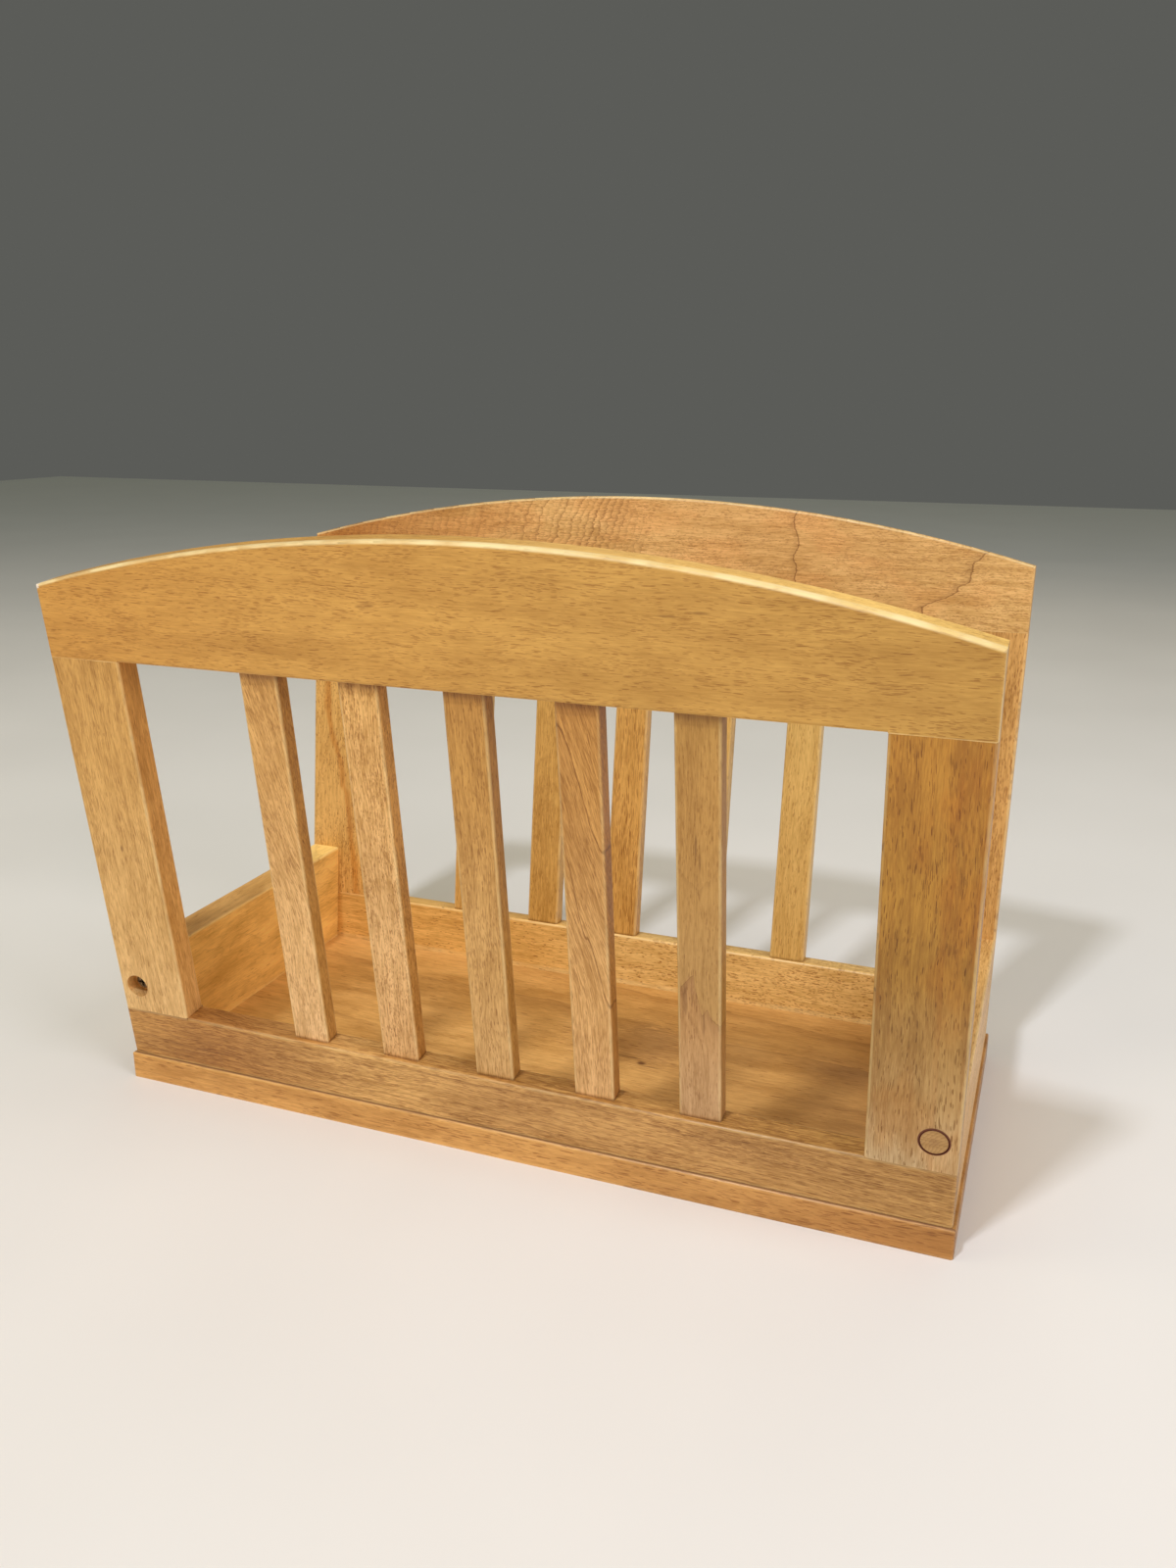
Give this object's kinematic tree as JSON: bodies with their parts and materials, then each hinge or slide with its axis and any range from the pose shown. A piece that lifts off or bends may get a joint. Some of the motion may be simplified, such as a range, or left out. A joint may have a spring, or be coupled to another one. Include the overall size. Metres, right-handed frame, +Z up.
{
  "type": "magazine rack",
  "caption": "Free-standing wooden magazine rack: two arched, slatted side frames lean outward from a flat base board and are tied at the foot by low end boards.",
  "frame": {"origin": "middle of the base board's underside, on the surface the rack stands on", "axes": "+X along the rack's length, +Y from the front side frame to the back side frame, +Z up"},
  "size_m": [0.409, 0.2438, 0.2845],
  "materials": {
    "base_wood": "satin lacquer over reddish-brown hardwood",
    "end_wood": "satin lacquer over warm orange-brown hardwood",
    "bottom_rail_wood": "satin lacquer over brown hardwood with dark wavy grain",
    "top_rail_wood": "satin lacquer over golden hardwood",
    "stile_wood": "satin lacquer over pale to mid honey hardwood",
    "slat_wood": "satin lacquer over honey hardwood, each slat its own tone",
    "plug_wood": "satin lacquer, cross-grain plug in a dark glue ring",
    "dowel_wood": "bare birch",
    "screw_steel": "dull zinc-plated steel"
  },
  "bodies": {
    "root": {"base_board": "base_wood", "left_end_board": "end_wood", "right_end_board": "end_wood", "front_bottom_rail": "bottom_rail_wood", "front_top_rail": "top_rail_wood", "front_left_stile": "stile_wood", "front_right_stile": "stile_wood", "front_slat_1": "slat_wood", "front_slat_2": "slat_wood", "front_slat_3": "slat_wood", "front_slat_4": "slat_wood", "front_slat_5": "slat_wood", "back_bottom_rail": "bottom_rail_wood", "back_top_rail": "top_rail_wood", "back_left_stile": "stile_wood", "back_right_stile": "stile_wood", "back_slat_1": "slat_wood", "back_slat_2": "slat_wood", "back_slat_3": "slat_wood", "back_slat_4": "slat_wood", "back_slat_5": "slat_wood", "front_frame_dowels": "dowel_wood", "back_frame_dowels": "dowel_wood", "front_right_plug": "plug_wood", "back_left_plug": "plug_wood", "back_right_plug": "plug_wood", "front_left_screw": "screw_steel", "front_right_screw": "screw_steel", "back_left_screw": "screw_steel", "back_right_screw": "screw_steel", "base_screws": "screw_steel"}
  },
  "joints": []
}
